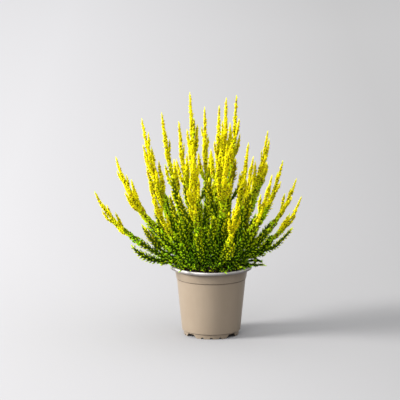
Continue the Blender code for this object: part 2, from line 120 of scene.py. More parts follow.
def turned(name, profile, sides):
    """A closed mesh turned round Z from (radius, height) points that start and end on the axis."""
    shape = bmesh.new()
    line = [shape.verts.new((radius, 0, height)) for radius, height in profile]
    edges = [shape.edges.new(pair) for pair in zip(line, line[1:])]
    bmesh.ops.spin(shape, geom=line + edges, axis=(0, 0, 1), cent=(0, 0, 0), angle=math.tau,
                   steps=sides, use_merge=True)
    bmesh.ops.remove_doubles(shape, verts=shape.verts, dist=1e-6)
    return as_mesh(name, shape)


def as_mesh(name, shape):
    bmesh.ops.recalc_face_normals(shape, faces=shape.faces)
    mesh = bpy.data.meshes.new(name)
    shape.to_mesh(mesh)
    shape.free()
    return mesh


def placed(name, data):
    thing = bpy.data.objects.new(name, data)
    bpy.context.scene.collection.objects.link(thing)
    return thing


def shown(name, mesh, finish):
    mesh.materials.append(finish)
    return placed(name, mesh)


def facing(turn):
    """The level direction this many degrees round from the front, which is -Y."""
    return Vector((math.sin(math.radians(turn)), -math.cos(math.radians(turn)), 0))


def upright_prism(shape, outline, depth_axis, start, end):
    """A flat outline of (across, height) points, swept along a level axis."""
    across = Vector((-depth_axis.y, depth_axis.x, 0))
    near, far = (
        [shape.verts.new(depth_axis * at + across * a + Vector((0, 0, h))) for a, h in outline]
        for at in (start, end)
    )
    shape.faces.new(near)
    shape.faces.new(reversed(far))
    for i in range(len(outline)):
        j = (i + 1) % len(outline)
        shape.faces.new((near[j], near[i], far[i], far[j]))


def cut_foot(piece):
    """Cuts the wide notches, the small round-topped nicks and the drain holes."""
    shape = bmesh.new()
    wide, narrow, half = NOTCH_FOOT_WIDTH / 2, NOTCH_TOP_WIDTH / 2, NICK_WIDTH / 2
    notch = [(-wide, CUT_BELOW), (wide, CUT_BELOW)]
    notch += [(narrow + out, NOTCH_HEIGHT + up) for out, up in NOTCH_CORNER]
    notch += [(-narrow - out, NOTCH_HEIGHT + up) for out, up in reversed(NOTCH_CORNER)]
    nick = [(-half, CUT_BELOW), (half, CUT_BELOW)]
    for k in range(ARCH_STEPS + 1):
        turn = math.pi * k / ARCH_STEPS
        rise = NICK_SPRING + (1 - NICK_SPRING) * math.sin(turn)
        nick.append((half * math.cos(turn), NICK_HEIGHT * rise))
    inside, outside = (FOOT_RADIUS + reach for reach in CUT_REACH)
    for turn in NOTCH_TURNS:
        upright_prism(shape, notch, facing(turn), inside, outside)
    for foot in FOOT_TURNS:
        for turn in NICK_TURNS:
            upright_prism(shape, nick, facing(foot + turn), inside, outside)
    for i in range(DRAIN_HOLES):
        turn = math.tau * (i + 0.5) / DRAIN_HOLES
        hole = bmesh.ops.create_cone(shape, cap_ends=True, segments=32, radius1=DRAIN_RADIUS,
                                     radius2=DRAIN_RADIUS, depth=FLOOR_TOP)
        centre = (DRAIN_CIRCLE * math.cos(turn), DRAIN_CIRCLE * math.sin(turn), FLOOR_TOP)
        bmesh.ops.translate(shape, verts=hole["verts"], vec=centre)
    cutter = placed("foot_cutters", as_mesh("foot_cutters", shape))
    cut = piece.modifiers.new("foot", "BOOLEAN")
    cut.object = cutter
    cut.operation = "DIFFERENCE"
    cut.solver = "EXACT"
    graph = bpy.context.evaluated_depsgraph_get()
    finished = bpy.data.meshes.new_from_object(piece.evaluated_get(graph))
    piece.modifiers.clear()
    piece.data = finished
    bpy.data.objects.remove(cutter)


class Nodes:
    """The nodes of one material or shader group, made and joined in few words."""

    def __init__(self, tree):
        self.tree = tree

    def add(self, kind, settings=None, **inputs):
        node = self.tree.nodes.new(kind)
        for name, value in (settings or {}).items():
            setattr(node, name, value)
        for name, value in inputs.items():
            socket = node.inputs[int(name[1:]) if name[1:].isdigit() else name.replace("_", " ")]
            if isinstance(value, bpy.types.NodeSocket):
                self.tree.links.new(value, socket)
            else:
                socket.default_value = value
        return node

    def place(self, kind="Object"):
        """Where a point is, as a whole and as its X, Y and Z."""
        where = self.add("ShaderNodeTexCoord").outputs[kind]
        return where, *self.add("ShaderNodeSeparateXYZ", Vector=where).outputs

    def noise(self, where, scale, detail=3.0, roughness=0.55):
        made = self.add("ShaderNodeTexNoise", Vector=where, Scale=scale, Detail=detail, Roughness=roughness)
        return made.outputs["Fac"]

    def ramp(self, value, stops):
        made = self.add("ShaderNodeValToRGB", Fac=value)
        elements = made.color_ramp.elements
        while len(elements) < len(stops):
            elements.new(0.5)
        for element, (place, colour) in zip(elements, stops):
            element.position = place
            element.color = (*colour, 1) if isinstance(colour, tuple) else (colour, colour, colour, 1)
        return made.outputs["Color"]

    def mix(self, factor, first, second):
        first, second = ((*c, 1) if isinstance(c, tuple) else c for c in (first, second))
        made = self.add("ShaderNodeMix", {"data_type": "RGBA"}, _0=factor, _6=first, _7=second)
        return made.outputs[2]

    def math(self, operation, first, second=0):
        return self.add("ShaderNodeMath", {"operation": operation}, _0=first, _1=second).outputs[0]

    def span(self, value, start, end, low=0, high=1, curve="LINEAR"):
        """Goes from low to high while the value goes from start to end."""
        made = self.add("ShaderNodeMapRange", {"interpolation_type": curve}, Value=value,
                        From_Min=start, From_Max=end, To_Min=low, To_Max=high)
        return made.outputs[0]

    def join(self, output, socket):
        self.tree.links.new(output, socket)


def new_material(name, roughness, specular):
    made = bpy.data.materials.new(name)
    made.use_nodes = True
    shader = made.node_tree.nodes["Principled BSDF"]
    shader.inputs["Roughness"].default_value = roughness
    shader.inputs["Specular IOR Level"].default_value = specular
    return made, Nodes(made.node_tree), shader


def moulded_plastic():
    """Worn in clouds and streaks, with a painted highlight on the lip, painted shade under it and in the
    moulded lines, and dusty at the foot.
    """
    made, nodes, shader = new_material("moulded_plastic", 0.42, 0.38)
    where, _, _, height = nodes.place()
    flow = nodes.add("ShaderNodeMapping", Vector=where, Scale=(1, 1, 0.12)).outputs[0]
    cloudy = nodes.ramp(nodes.noise(where, 34, 4), [(0.35, 0.0), (0.70, 1.0)])
    streaks = nodes.ramp(nodes.noise(flow, 240, 3), [(0.46, 0.0), (0.72, 1.0)])
    colour = nodes.mix(nodes.math("MULTIPLY", cloudy, CLOUD_SHARE), TAUPE, TAUPE_WORN)
    colour = nodes.mix(nodes.math("MULTIPLY", streaks, STREAK_SHARE), colour, TAUPE_WORN)
    level = nodes.add("ShaderNodeVectorMath", {"operation": "MULTIPLY"}, _0=where, _1=(1, 1, 0))
    out = nodes.add("ShaderNodeVectorMath", {"operation": "LENGTH"}, _0=level.outputs[0])
    # painted highlight: the lip is pale all round, where it catches the light
    lip = nodes.span(out.outputs["Value"], *HIGHLIGHT_RADII, high=HIGHLIGHT_SHARE)
    colour = nodes.mix(lip, colour, LIP_PAINTED_HIGHLIGHT)
    # painted shade on the lower part of the lip's edge
    under = nodes.span(height, *UNDER_HEIGHTS, high=UNDER_SHARE)
    colour = nodes.mix(nodes.math("MULTIPLY", lip, under), colour, LIP_UNDER_SHADE)
    # painted shadow on the collar just under the lip's overhang
    crease = nodes.span(height, *CREASE_HEIGHTS, high=CREASE_SHARE)
    crease = nodes.math("MULTIPLY", crease, nodes.math("SUBTRACT", 1.0, lip))
    colour = nodes.mix(crease, colour, LINE_AND_CREASE_SHADE)
    # painted shade in the moulded lines at the collar's foot and above the foot ring
    for line_height in (COLLAR_FOOT + LINE_WIDTH * 0.6, FLOOR_TOP):
        off = nodes.math("ABSOLUTE", nodes.math("SUBTRACT", height, line_height))
        line = nodes.span(off, LINE_WIDTH, LINE_WIDTH * 0.3)
        colour = nodes.mix(nodes.math("MULTIPLY", line, LINE_SHADE_SHARE), colour, LINE_AND_CREASE_SHADE)
    low = nodes.span(height, DUST_HEIGHT, 0)
    specks = nodes.ramp(nodes.noise(where, 420, 5, 0.7), [(0.52, 0.0), (0.66, 1.0)])
    dusty = nodes.math("MULTIPLY", nodes.math("MULTIPLY", low, specks), DUST_SHARE)
    colour = nodes.mix(dusty, colour, POT_DUST)
    nodes.join(colour, shader.inputs["Base Color"])
    nodes.join(nodes.span(cloudy, 0, 1, 0.38, 0.50), shader.inputs["Roughness"])
    grain = nodes.noise(where, 1500, 2)
    bump = nodes.add("ShaderNodeBump", Strength=0.18, Distance=0.0002, Height=grain)
    nodes.join(bump.outputs[0], shader.inputs["Normal"])
    return made


collar_top = POT_HEIGHT - LIP_WEB
lip_foot = POT_HEIGHT - LIP_DEPTH
ring_inside = FOOT_RADIUS - FOOT_RING
pot_inside = [
    (COLLAR_FOOT_RADIUS - WALL, COLLAR_FOOT + COLLAR_STEP),
    (WALL_TOP_RADIUS - WALL, COLLAR_FOOT),
    (WALL_FOOT_RADIUS - WALL, FLOOR_TOP + FOOT_GROOVE * 2),
    (FLOOR_RADIUS, FLOOR_TOP),
    (0, FLOOR_TOP),
]
pot_profile = [
    (0, 0),
    (PAD_RADIUS, 0),
    (PAD_RADIUS + DRAFT, FLOOR_UNDER),
    (ring_inside - DRAFT / 2, FLOOR_UNDER),
    (ring_inside, 0),
    (FOOT_RADIUS, 0),
    (FOOT_RADIUS + DRAFT, FLOOR_TOP - FOOT_GROOVE),
    (WALL_FOOT_RADIUS, FLOOR_TOP + FOOT_GROOVE),
    (WALL_TOP_RADIUS, COLLAR_FOOT),
    (WALL_TOP_RADIUS - LINE_DEPTH, COLLAR_FOOT + LINE_WIDTH * 0.3),
    (WALL_TOP_RADIUS - LINE_DEPTH, COLLAR_FOOT + LINE_WIDTH),
    (COLLAR_FOOT_RADIUS, COLLAR_FOOT + COLLAR_STEP),
    (COLLAR_RADIUS, collar_top),
    (LIP_RADIUS - LIP_EDGE, collar_top),
    (LIP_RADIUS - LIP_EDGE, lip_foot),
    (LIP_RADIUS, lip_foot),
    (LIP_RADIUS, POT_HEIGHT),
    (COLLAR_RADIUS, POT_HEIGHT - RIM_DISH),
    (COLLAR_RADIUS - WALL, collar_top - RIM_DISH),
    *pot_inside,
]
soft_corners = dict.fromkeys((1, 4, 5, 6, 7, 11, 14, 15), SOFT_EDGE)
soft_corners |= dict.fromkeys((16, 17), LIP_ROUND)
pot = shown("nursery_pot", turned("pot", rounded(pot_profile, soft_corners), POT_SIDES), moulded_plastic())
cut_foot(pot)
pot.data.materials.clear()
pot.data.materials.append(bpy.data.materials["moulded_plastic"])
pot.data.shade_smooth()
pot.data.set_sharp_from_angle(angle=SHARP_FROM)
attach(pot, "root")
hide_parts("pot")


# The potting soil is damp dark peat that fills the pot to just below the lip. Its top is
# rough with crumbs and short bits of twig; below that it has the shape of the pot's inside.
SOIL_SEED = 7
SOIL_GAP = 0.0003
SOIL_EDGE = 0.0990
SOIL_CROWN = 0.1005
SOIL_EDGE_RADIUS = 0.0541
SOIL_RINGS = 46
SOIL_SIDES = 150
LUMP_SCALES = (90, 240, 620)
LUMP_RISE = 0.16
CRUMBS = 900
CRUMB_SIZES = (0.0005, 0.0019)
CRUMB_INSET = 0.002  # how far inside the soil's edge they all lie
TWIG_BITS = 120
BIT_INSET = 0.006
BIT_TILTS = (-0.1, 0.25)
BIT_HALF_LENGTHS = (0.002, 0.005)
BIT_HALF_WIDTHS = (0.0002, 0.0004)
BIT_HEIGHT = 1.4  # shares of its half width
BIT_LIFT = 0.0006
PEAT_DARK = (0.010, 0.006, 0.004)
PEAT = (0.045, 0.027, 0.017)
PEAT_FIBRE = (0.16, 0.095, 0.05)


def soil_height(x, y):
    """The top of the soil at a place: a low crown with lumps of several sizes."""
    share = min(1, math.hypot(x, y) / SOIL_EDGE_RADIUS)
    lumps = sum(noise.noise((x * f, y * f, f)) / f for f in LUMP_SCALES)
    return SOIL_CROWN + (SOIL_EDGE - SOIL_CROWN) * share**2 + lumps * LUMP_RISE


def strewn(rng, inset):
    """A place on the soil at least this far inside its edge, any as likely as another."""
    turn, out = rng.uniform(0, math.tau), (SOIL_EDGE_RADIUS - inset) * math.sqrt(rng.uniform())
    return out * math.cos(turn), out * math.sin(turn)


def peat():
    made, nodes, shader = new_material("peat", 0.95, 0.25)
    where = nodes.add("ShaderNodeTexCoord").outputs["Object"]
    lumps = nodes.noise(where, 260, 6, 0.65)
    colour = nodes.ramp(lumps, [(0.32, PEAT_DARK), (0.62, PEAT), (0.80, PEAT_FIBRE)])
    nodes.join(colour, shader.inputs["Base Color"])
    bump = nodes.add("ShaderNodeBump", Strength=0.9, Distance=0.0008, Height=nodes.noise(where, 900, 6, 0.7))
    nodes.join(bump.outputs[0], shader.inputs["Normal"])
    return made


def circle(radius, sides):
    turns = [math.tau * k / sides for k in range(sides)]
    return [(radius * math.cos(turn), radius * math.sin(turn)) for turn in turns]


def soil_mesh():
    """The root ball's side and foot, its lumpy top, and the crumbs and bits that lie on it."""
    rng = np.random.default_rng(SOIL_SEED)
    points, faces, rings = [], [], []

    def add_ring(radius, height_at):
        """A ring of points at this radius, or a single point on the axis."""
        ring = circle(radius, SOIL_SIDES if radius else 1)
        rings.append(range(len(points), len(points) + len(ring)))
        points.extend((x, y, height_at(x, y)) for x, y in ring)

    for k in range(SOIL_RINGS + 1):
        add_ring(SOIL_EDGE_RADIUS * k / SOIL_RINGS, soil_height)
    for radius, height in pot_inside:
        add_ring(max(0, radius - SOIL_GAP), lambda x, y: height + SOIL_GAP)
    for low, high in zip(rings, rings[1:]):
        for j in range(SOIL_SIDES):
            a, b = low[j % len(low)], low[(j + 1) % len(low)]
            c, d = high[(j + 1) % len(high)], high[j % len(high)]
            faces.append([v for n, v in enumerate((a, d, c, b)) if v not in (a, d, c, b)[:n]])
    for _ in range(CRUMBS):
        x, y = strewn(rng, CRUMB_INSET)
        size = rng.uniform(*CRUMB_SIZES)
        first = len(points)
        centre = Vector((x, y, soil_height(x, y) + size * 0.3))
        for axis in ((1, 0, 0), (0, 1, 0), (-1, 0, 0), (0, -1, 0), (0, 0, 1), (0, 0, -1)):
            wobble = Vector(rng.uniform(-0.3, 0.3, 3))
            points.append(tuple(centre + (Vector(axis) + wobble) * size * rng.uniform(0.6, 1)))
        for j in range(4):
            here, after = first + j, first + (j + 1) % 4
            faces += [(here, after, first + 4), (after, here, first + 5)]
    for _ in range(TWIG_BITS):
        x, y = strewn(rng, BIT_INSET)
        way = Vector((*rng.uniform(-1, 1, 2), rng.uniform(*BIT_TILTS))).normalized()
        along = way * rng.uniform(*BIT_HALF_LENGTHS)
        across = Vector((-along.y, along.x, 0)).normalized() * rng.uniform(*BIT_HALF_WIDTHS)
        lift = Vector((0, 0, across.length * BIT_HEIGHT))
        middle = Vector((x, y, soil_height(x, y) + BIT_LIFT))
        first = len(points)
        for end in (-1, 1):
            points += [tuple(middle + along * end + part) for part in (across, lift, -across)]
        for j in range(3):
            k = (j + 1) % 3
            faces.append((first + j, first + k, first + 3 + k, first + 3 + j))
        faces += [(first + 2, first + 1, first), (first + 3, first + 4, first + 5)]
    mesh = bpy.data.meshes.new("potting_soil_top")
    mesh.from_pydata(points, [], faces)
    mesh.update()
    return mesh


soil = shown("peat_soil", soil_mesh(), peat())
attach(soil, "root")
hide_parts("potting_soil")


# Twenty-eight sprays grow from the soil: woody stems that lean out in a fan, tall in the
# middle and low outside, each with its side shoots. This section says where every shoot
# runs, by the rule of the solids, and bends them clear of each other as they are bent there.
UP = np.array([0, 0, 1.0])
SPRAYS = 28
GROWTH_SEED = 101
GOLDEN_ANGLE = math.pi * (3 - math.sqrt(5))
TURN_JITTER = 0.10
STOOL_RADIUS = 0.040
STOOL_POWER = 0.85
STRAIGHT_FOOT = 0.005
HOLE_FOOT = 0.0860
CROWN_REACH = 0.170
REACH_POWER = 0.92
REACH_SHARES = (0.90, 1.04)
LEAN_TO_LEFT = 0.10
CROWN_HEIGHT = 0.268
DROOP = 0.55
DROOP_POWER = 2.6
RISE_SHARES = (0.78, 1.03)
TIP_SWAY = 0.010
LEAVE_LEAN = 1.25
MORE_LEAN = 0.04
MOST_LEAN = 1.08
ARRIVE_LEAN = 0.45
STEM_HANDLE = 0.36
STEM_STEPS = 40
COLOUR_CHANGE = (0.44, 0.52)
INNER_SHARE = 0.62
SKIRT_ROOT = 5
SKIRT_LENGTHS = (0.034, 0.046)
SKIRT_OPENS = (0.95, 1.20)
SKIRT_AIMS = (0.70, 1.20)
SKIRT_SPREAD = 0.9
TWIGS = 4
OUTER_TWIGS = 3
TWIG_ROOT = 0.15
TWIG_APART = 0.08
TWIG_LENGTHS = (0.050, 0.078)
TWIG_OPENS = (0.45, 0.70)
GOLD_SIDES = 6
GOLD_STRETCH = 0.28
GOLD_LENGTHS = (0.15, 0.24)  # shares of the stem's length
GOLD_SHORTER = 0.09
GOLD_OPENS = (0.24, 0.42)
UPRIGHT_SPREAD = 0.1
SIDE_STEPS = 16
SIDE_HANDLES = (0.38, 0.34)
ARRIVE_ALONG, ARRIVE_UP = 0.6, 0.5
STEM_RADIUS = 0.0015
SHOOT_RADIUS = 0.0054
LEAFY_RADIUS = 0.0080
LEAFY_TO = 0.60  # share of the stem's length
LEAFY_FADE = 4
POINT_RADIUS = 0.0018
POINT_POWER = 0.75
BARE_STEM = 0.018
BARE_SIDE = 0.005
STEM_SWELL = 0.020
SIDE_SWELL = 0.010
STEM_POINT = 0.070
SIDE_POINT = 0.036
POINT_STEP = 0.006
FOOT_POINTS = 3
NEIGHBOUR_REACH = 0.026
CLEAR = 0.0022
ONE_BODY = 0.70
PUSH = 0.4
RELAX_ROUNDS = 120
STEM_FREE_FROM = 0.024
STEM_FREE_BY = 0.074
SIDE_FREE_BY = 0.018
LEAST_GIVE = 0.6
RIM_INSIDE = 0.047
RIM_CLEAR = 0.001
FILL_ROUNDS = 12
FILL_STEP = 0.0010
GREEN_FILL = 0.0120
GOLD_FILL = 0.0064


def unit(vector):
    return vector / np.linalg.norm(vector)


def units(vectors):
    return vectors / np.linalg.norm(vectors, axis=-1, keepdims=True)


def bezier(corners, steps):
    t = np.linspace(0, 1, steps + 1)[:, None]
    a, b, c, d = (np.array(corner) for corner in corners)
    return (1 - t) ** 3 * a + 3 * t * (1 - t) ** 2 * b + 3 * t**2 * (1 - t) * c + t**3 * d


def lengths_of(points):
    """How far along the line each of its points is."""
    steps = np.linalg.norm(np.diff(points, axis=0), axis=1)
    return np.concatenate([[0], np.cumsum(steps)])


def places_at(line, lengths, stations):
    """Where these distances along a line are."""
    return np.stack([np.interp(stations, lengths, line[:, i]) for i in range(3)], 1)


class Shoot:
    """A line of points with a radius at each, for a spray's stem or one of its side shoots."""

    def __init__(self, spray, points, colour, root=None):
        self.spray = spray
        self.colour = colour
        self.root = root
        along = lengths_of(points)
        count = max(4, round(along[-1] / POINT_STEP) + 1)
        even = np.linspace(0, along[-1], count)
        self.points = places_at(points, along, even)
        self.girths = np.array([self.girth(at, along[-1]) for at in even])
        free_from, free_by = (STEM_FREE_FROM, STEM_FREE_BY) if root is None else (0, SIDE_FREE_BY)
        reach = np.clip((even - free_from) / (free_by - free_from), 0, 1)
        self.give = reach * (LEAST_GIVE + (1 - LEAST_GIVE) * even / along[-1])

    def girth(self, at, length):
        """The radius over the leaves: a bare foot, a full middle and a long thin point."""
        if self.root is None:
            bare, swell_by, point_from = BARE_STEM, STEM_SWELL, STEM_POINT
            leafy = min(1, max(0, (LEAFY_TO - at / length) * LEAFY_FADE))
        else:
            bare, swell_by, point_from = BARE_SIDE, SIDE_SWELL, SIDE_POINT
            leafy = 0.5 if self.colour == "green" else 0
        full = SHOOT_RADIUS + (LEAFY_RADIUS - SHOOT_RADIUS) * leafy
        swell = min(1, max(0, (at - bare) / swell_by))
        body = STEM_RADIUS + (full - STEM_RADIUS) * swell
        point = min(1, (length - at) / point_from)
        return POINT_RADIUS + (body - POINT_RADIUS) * point**POINT_POWER

    def golden(self):
        """Which of its points belong to the golden solid, as ones among noughts."""
        if self.root is None:
            return (np.arange(len(self.points)) >= self.turn_point).astype(int)
        return np.full(len(self.points), int(self.colour == "gold"))

    def girth_at(self, at):
        """The radius over the leaves after the shoot has filled out."""
        return np.interp(at, lengths_of(self.points), self.girths)


def spray_lines():
    """The stems' lines: a sunflower spiral that is tall and upright in the middle, low outside."""
    rng = np.random.default_rng(GROWTH_SEED)
    lines = []
    for i in range(SPRAYS):
        share = math.sqrt((i + 0.5) / SPRAYS)
        turn = i * GOLDEN_ANGLE + rng.normal(0, TURN_JITTER)
        out = np.array([math.cos(turn), math.sin(turn), 0])
        reach = CROWN_REACH * share**REACH_POWER * (1 - LEAN_TO_LEFT * out[0])
        reach *= rng.uniform(*REACH_SHARES)
        rise = CROWN_HEIGHT * (1 - DROOP * share**DROOP_POWER) * rng.uniform(*RISE_SHARES)
        sway = np.cross(UP, out) * rng.uniform(-TIP_SWAY, TIP_SWAY)
        foot = out * STOOL_RADIUS * share**STOOL_POWER + UP * (SOIL_CROWN + STRAIGHT_FOOT)
        tip = out * reach + UP * (POT_HEIGHT + rise) + sway
        chord = np.linalg.norm(tip - foot)
        lean = math.acos((tip - foot)[2] / chord)
        leave, arrive = (
            (out * math.sin(turn) + UP * math.cos(turn)) * chord * STEM_HANDLE
            for turn in (min(lean * LEAVE_LEAN + MORE_LEAN, MOST_LEAN), lean * ARRIVE_LEAN)
        )
        curve = bezier((foot, foot + leave, tip - arrive, tip), STEM_STEPS)
        lines.append(np.vstack([[foot[0], foot[1], HOLE_FOOT + SOIL_GAP], curve]))
    return lines


def side_line(stem, root, length, opening, roll, spread):
    """A side shoot's line: out of the stem at an angle, then up beside it or on outwards."""
    start = stem.points[root]
    along = unit(stem.points[root + 1] - stem.points[root - 1])
    away = start * [1, 1, 0]
    away = unit(away - along * (away @ along))
    beside = np.cross(along, away)
    out = away * math.cos(roll) + beside * math.sin(roll)
    leave = along * math.cos(opening) + out * math.sin(opening)
    arrive = unit(along * ARRIVE_ALONG + UP * ARRIVE_UP + out * spread)
    end = start + unit(leave + arrive) * length
    first, last = (length * share for share in SIDE_HANDLES)
    return bezier((start, start + leave * first, end - arrive * last, end), SIDE_STEPS)


def grow():
    """Every shoot of every spray, the stem first, before they are bent clear of each other."""
    rng = np.random.default_rng(GROWTH_SEED + 1)
    shoots = []
    for i, line in enumerate(spray_lines()):
        outer = math.sqrt((i + 0.5) / SPRAYS) > INNER_SHARE
        stem = Shoot(i, line, "both")
        count = len(stem.points)
        reach = lengths_of(stem.points)[-1]
        stem.turn_point = round(count * rng.uniform(*COLOUR_CHANGE))
        shoots.append(stem)
        roll = rng.uniform(0, math.tau)

        def side(colour, root, length, opening, roll, spread=UPRIGHT_SPREAD):
            line = side_line(stem, root, length, opening, roll, spread)
            shoots.append(Shoot(i, line, colour, root))

        if outer:
            for hand in (-1, 0, 1):
                aim = hand * rng.uniform(*SKIRT_AIMS)
                length = rng.uniform(*SKIRT_LENGTHS)
                opening = rng.uniform(*SKIRT_OPENS)
                side("green", SKIRT_ROOT + hand, length, opening, aim, SKIRT_SPREAD)
        for k in range(OUTER_TWIGS if outer else TWIGS):
            root = round(count * (TWIG_ROOT + TWIG_APART * k))
            roll += GOLDEN_ANGLE
            side("green", root, rng.uniform(*TWIG_LENGTHS), rng.uniform(*TWIG_OPENS), roll)
        for k in range(GOLD_SIDES):
            root = stem.turn_point + 2 + round(count * GOLD_STRETCH * k / GOLD_SIDES)
            length = reach * rng.uniform(*GOLD_LENGTHS) * (1 - GOLD_SHORTER * k)
            roll += GOLDEN_ANGLE
            side("gold", root, length, rng.uniform(*GOLD_OPENS), roll)
    return shoots


def floor_under(places):
    """How high the rim or the soil is below each place."""
    level = np.hypot(places[:, 0], places[:, 1])
    return np.where(level > RIM_INSIDE, POT_HEIGHT, SOIL_CROWN) + RIM_CLEAR


def points_of(shoots):
    return np.concatenate([shoot.points for shoot in shoots])


def girths_of(shoots):
    return np.concatenate([shoot.girths for shoot in shoots])


def starts_of(shoots):
    return np.cumsum([0] + [len(shoot.points) for shoot in shoots])


def close_pairs(shoots):
    """Points of two shoots that could touch, and how far apart they have to be.

    A stem and the feet of its own side shoots are left out, because they grow from it.
    """
    places, radii = points_of(shoots), girths_of(shoots)
    numbers = np.concatenate([np.full(len(s.points), i) for i, s in enumerate(shoots)])
    sprays = np.array([shoot.spray for shoot in shoots])
    is_stem = np.array([shoot.root is None for shoot in shoots])
    foot = np.concatenate([np.arange(len(s.points)) < FOOT_POINTS for s in shoots])
    square = (places**2).sum(1)
    near = square[:, None] + square - 2 * places @ places.T < NEIGHBOUR_REACH**2
    first, second = np.nonzero(np.triu(near, 1))
    one, other = numbers[first], numbers[second]
    own_foot = is_stem[one] & foot[second] | is_stem[other] & foot[first]
    apart = (one != other) & ~(own_foot & (sprays[one] == sprays[other]))
    first, second = first[apart], second[apart]
    solids = np.concatenate([2 * s.spray + s.golden() for s in shoots])
    both = radii[first] + radii[second]
    wanted = np.where(solids[first] == solids[second], both * ONE_BODY, both + CLEAR)
    return first, second, wanted


def bend_clear(shoots):
    """Pushes shoots apart where they would cross, and up off the rim, with the stems' feet kept."""
    radii, starts = girths_of(shoots), starts_of(shoots)
    first, second, wanted = close_pairs(shoots)
    for _ in range(RELAX_ROUNDS):
        places = points_of(shoots)
        between = places[first] - places[second]
        distance = np.linalg.norm(between, axis=1) + 1e-9
        short = np.clip(wanted - distance, 0, None)
        step = between * (PUSH * short / distance)[:, None]
        push = np.zeros_like(places)
        np.add.at(push, first, step)
        np.add.at(push, second, -step)
        push[:, 2] += np.clip(floor_under(places) + radii - places[:, 2], 0, None) * PUSH
        carried = {}
        for i, shoot in enumerate(shoots):
            own = push[starts[i] : starts[i + 1]]
            ways = units(np.gradient(shoot.points, axis=0))
            own = (own - ways * (own * ways).sum(1)[:, None]) * shoot.give[:, None]
            own[1:-1] = (own[:-2] + 2 * own[1:-1] + own[2:]) / 4
            if shoot.root is None:
                carried[shoot.spray] = own
            else:
                own = own + carried[shoot.spray][shoot.root]
            shoot.points = shoot.points + own


def fill_out(shoots):
    """Lets every shoot's leaves fill the free room round it, and give way where room is short."""
    places, radii = points_of(shoots), girths_of(shoots)
    golden = np.concatenate([shoot.golden() for shoot in shoots])
    usual = np.where(golden, SHOOT_RADIUS, LEAFY_RADIUS)
    most = radii * np.where(golden, GOLD_FILL, GREEN_FILL) / usual
    first, second, wanted = close_pairs(shoots)
    both = radii[first] + radii[second]
    merging = wanted < both
    apart = np.linalg.norm(places[first] - places[second], axis=1)
    height = places[:, 2] - floor_under(places)
    for _ in range(FILL_ROUNDS):
        both = radii[first] + radii[second]
        free = apart - np.where(merging, both * ONE_BODY, both + CLEAR)
        room = np.minimum(FILL_STEP, height - radii)
        np.minimum.at(room, first, free / 2)
        np.minimum.at(room, second, free / 2)
        radii = np.clip(radii + np.clip(room, -FILL_STEP, None), STEM_RADIUS, most)
    for start, shoot in zip(starts_of(shoots), shoots):
        grown = radii[start : start + len(shoot.points)]
        smooth = (np.append(grown[1:], grown[-1]) + grown + np.append(grown[0], grown[:-1])) / 3
        shoot.girths = np.minimum(grown, smooth)


def smooth_line(points):
    """Many points on a smooth curve through a few, and how far along each is."""
    ends = np.vstack([2 * points[0] - points[1], points, 2 * points[-1] - points[-2]])
    t = np.linspace(0, 1, 5)[:-1, None]
    fine = [
        (2 * b + (c - a) * t + (2 * a - 5 * b + 4 * c - d) * t**2 + (3 * b - a - 3 * c + d) * t**3) / 2
        for a, b, c, d in zip(ends, ends[1:], ends[2:], ends[3:])
    ]
    fine = np.vstack([*fine, points[-1:]])
    return fine, lengths_of(fine)


def places_along(line, lengths, stations):
    """Where these distances along a line are, and which way the line runs there."""
    before, places, after = (
        places_at(line, lengths, at)
        for at in (stations - POINT_STEP / 3, stations, stations + POINT_STEP / 3)
    )
    return places, units(after - before)


shoots = grow()
bend_clear(shoots)
fill_out(shoots)


# The green sprays are each stem's lower part: a bare brown woody foot, then short side shoots packed with
# tiny scale leaves in crossed pairs, darker inside with painted shade and fresher and lighter at their tips.
LEAF_SEED = 11
LEAF_LENGTH = 0.0030
LEAF_WIDTH, LEAF_KEEL, LEAF_MIDDLE = 0.66, 0.20, 0.46  # shares of the leaf's length
LEAF_SIZES = (0.85, 1.12)
LEAF_OPENS = (0.75, 1.2)
LEAF_SPIN = 0.35
LEAF_PAIRS = 6
LEAVES_FROM, LEAVES_OVER = 0.16, 0.72  # shares of the tuft's length
TUFT_CORE = 0.0012
TUFT_FOOT = 0.34  # share of the shoot's radius where its tufts begin
TUFT_ANGLE = 0.90
TUFT_LEANS = (0.8, 1.15)
TUFT_LENGTHS = (0.74, 1.14)
TUFT_REACH = 0.86
TUFT_ARCH = 0.35
TUFT_OPEN = 0.62
# a tuft's core runs from the painted-shade end of the map at its foot to the lit end at its tip
TUFT_HUES, TUFT_AGES = (-0.14, -0.03, -0.02, -0.01, 0.04), (0.10, 0.46, 0.52, 0.48, 0.86)
TUFT_FRESH, LEAF_FRESH = (-0.24, 0.30), (-0.16, 0.20)
TIPS_AHEAD = 0.16  # how much further a tuft's tip has grown than its foot
CORE_STEP, COUNT_STEP = 0.003, 0.0005
CORE_GIRTHS = (0.75, 1.1)
CORE_TIP = 0.0004
LEAST_GIRTH = 0.0030  # of the leaves near a stem's foot
BARK_UP, BARK_RINGS, BARK_GIRTH = 1.6, 7, 0.9
SPOKE_AGES = (0, 0.02, 0.04, 0.05, 0.03)  # the sides of a tube lie a little apart on the map
RING_APART = (0.012, 0.01)
GROWTHS = (0.11, 0.985)  # the part of the map that is leaves; wood is below it
WOOD_PLACE, WOOD_AGE = 0.03, 0.3
DRY_AGE = 0.010
DRY_LEAVES = 0.012
